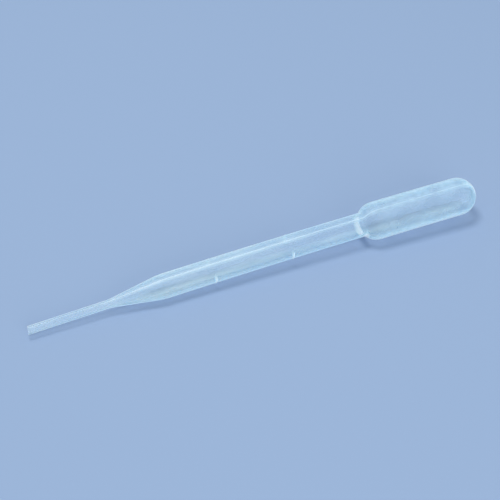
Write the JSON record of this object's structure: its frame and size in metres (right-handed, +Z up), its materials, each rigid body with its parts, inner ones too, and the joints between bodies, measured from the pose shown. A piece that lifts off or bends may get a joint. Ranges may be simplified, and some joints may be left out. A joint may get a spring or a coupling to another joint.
{
  "type": "plastic dropper pipette",
  "caption": "Plastic dropper pipette moulded whole: open narrow tip, conical taper, graduated tubular stem and round-ended squeeze bulb, lying on its side.",
  "frame": {"origin": "on the floor under the middle of the bounding box of the pipette as it lies", "axes": "+X from the open tip towards the bulb, level with the floor (the pipette's own axis climbs 1.8 degrees towards the bulb), +Y away from the side that shows, +Z up"},
  "size_m": [0.155, 0.0128, 0.0137],
  "materials": {
    "milky_plastic": "satin, milky and translucent low-density polyethylene as it leaves the blow mould"
  },
  "bodies": {
    "root": {"pipette": "milky_plastic"}
  },
  "joints": []
}
